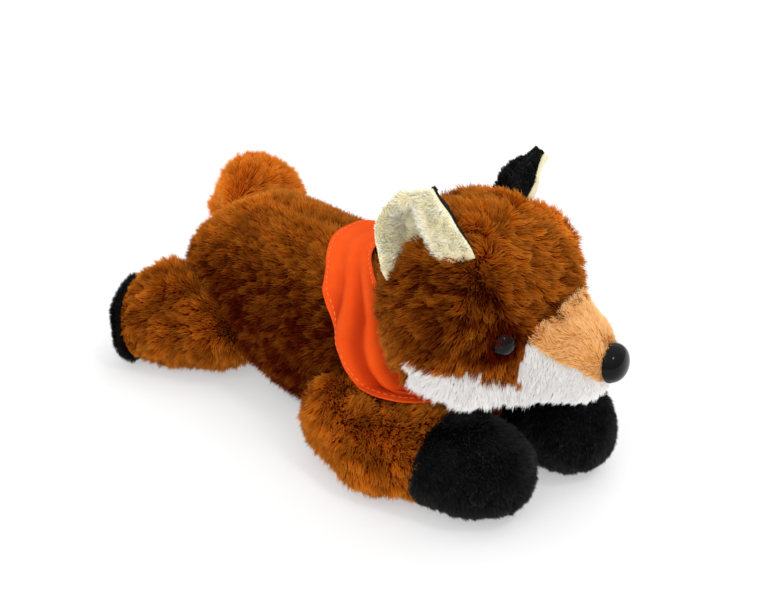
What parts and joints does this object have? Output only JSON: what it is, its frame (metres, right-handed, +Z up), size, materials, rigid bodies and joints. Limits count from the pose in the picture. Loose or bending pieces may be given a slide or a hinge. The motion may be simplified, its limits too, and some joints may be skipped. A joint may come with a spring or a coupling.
{
  "type": "plush fox",
  "caption": "Lying plush fox with a kerchief: stuffed torso, turning and nodding head, cupped ears, swinging legs and a curled tail.",
  "frame": {"origin": "on the floor under the belly, on the flat of the belly panel", "axes": "+X toward the nose, +Y to the toy's left side, +Z up"},
  "size_m": [0.2374, 0.1212, 0.1167],
  "materials": {
    "brown_plush": "long pile",
    "black_plush": "short pile",
    "white_plush": "long pile",
    "tan_plush": "short pile",
    "cream_plush": "short pile",
    "fibre_filling": "matt",
    "pouch_cloth": "plain weave",
    "kerchief_cloth": "plain weave",
    "black_gloss": "polished",
    "washer_plastic": "matt"
  },
  "bodies": {
    "torso": {"torso_skin": "brown_plush", "belly_panel": "white_plush", "torso_stuffing": "fibre_filling", "bean_pouch": "pouch_cloth", "kerchief": "kerchief_cloth"},
    "neck": {"neck_stuffing": "fibre_filling"},
    "head": {"head_skin": "brown_plush", "cheek_and_chin_panel": "white_plush", "muzzle_panel": "tan_plush", "head_stuffing": "fibre_filling", "nose": "black_gloss", "nose_washer": "washer_plastic", "eye_right": "black_gloss", "eye_left": "black_gloss", "eye_washer_right": "washer_plastic", "eye_washer_left": "washer_plastic"},
    "ear_right": {"ear_back_right": "black_plush", "ear_lining_right": "cream_plush"},
    "foreleg_right": {"foreleg_sleeve_right": "brown_plush", "paw_right": "black_plush", "foreleg_stuffing_right": "fibre_filling"},
    "hind_leg_right": {"hind_leg_right": "brown_plush", "sole_right": "black_plush", "hind_leg_stuffing_right": "fibre_filling"},
    "ear_left": {"ear_back_left": "black_plush", "ear_lining_left": "cream_plush"},
    "foreleg_left": {"foreleg_sleeve_left": "brown_plush", "paw_left": "black_plush", "foreleg_stuffing_left": "fibre_filling"},
    "hind_leg_left": {"hind_leg_left": "brown_plush", "sole_left": "black_plush", "hind_leg_stuffing_left": "fibre_filling"},
    "tail": {"tail_skin": "brown_plush", "tail_tip": "white_plush", "tail_stuffing": "fibre_filling"}
  },
  "joints": [
    {"name": "neck_turn", "type": "hinge", "parent": "torso", "child": "neck", "pos_m": [0.036, 0, 0.034], "axis": [0, 0, 1], "range_deg": [-25, 15]},
    {"name": "head_nod", "type": "hinge", "parent": "neck", "child": "head", "pos_m": [0.036, 0, 0.034], "axis": [0.342, -0.9397, 0], "range_deg": [0, 14]},
    {"name": "ear_right_fold", "type": "hinge", "parent": "head", "child": "ear_right", "pos_m": [0.07466, -0.0302, 0.0886], "axis": [0.7854, 0.5009, 0.3637], "range_deg": [-20, 25]},
    {"name": "ear_left_fold", "type": "hinge", "parent": "head", "child": "ear_left", "pos_m": [0.0659, 0.01727, 0.0925], "axis": [0.9395, -0.3273, 0.1014], "range_deg": [-25, 20]},
    {"name": "foreleg_right_swing", "type": "hinge", "parent": "torso", "child": "foreleg_right", "pos_m": [0.036, -0.031, 0.01675], "axis": [0, 0, -1], "range_deg": [0, 40]},
    {"name": "foreleg_left_swing", "type": "hinge", "parent": "torso", "child": "foreleg_left", "pos_m": [0.036, 0.031, 0.01675], "axis": [0, 0, 1], "range_deg": [0, 40]},
    {"name": "hind_leg_right_swing", "type": "hinge", "parent": "torso", "child": "hind_leg_right", "pos_m": [-0.046, -0.027, 0.0195], "axis": [0, 0, 1], "range_deg": [0, 30]},
    {"name": "hind_leg_left_swing", "type": "hinge", "parent": "torso", "child": "hind_leg_left", "pos_m": [-0.046, 0.027, 0.0195], "axis": [0, 0, -1], "range_deg": [0, 30]},
    {"name": "tail_lift", "type": "hinge", "parent": "torso", "child": "tail", "pos_m": [-0.07, -0.002, 0.052], "axis": [0.8412, 0.5408, 0], "range_deg": [0, 30]}
  ]
}
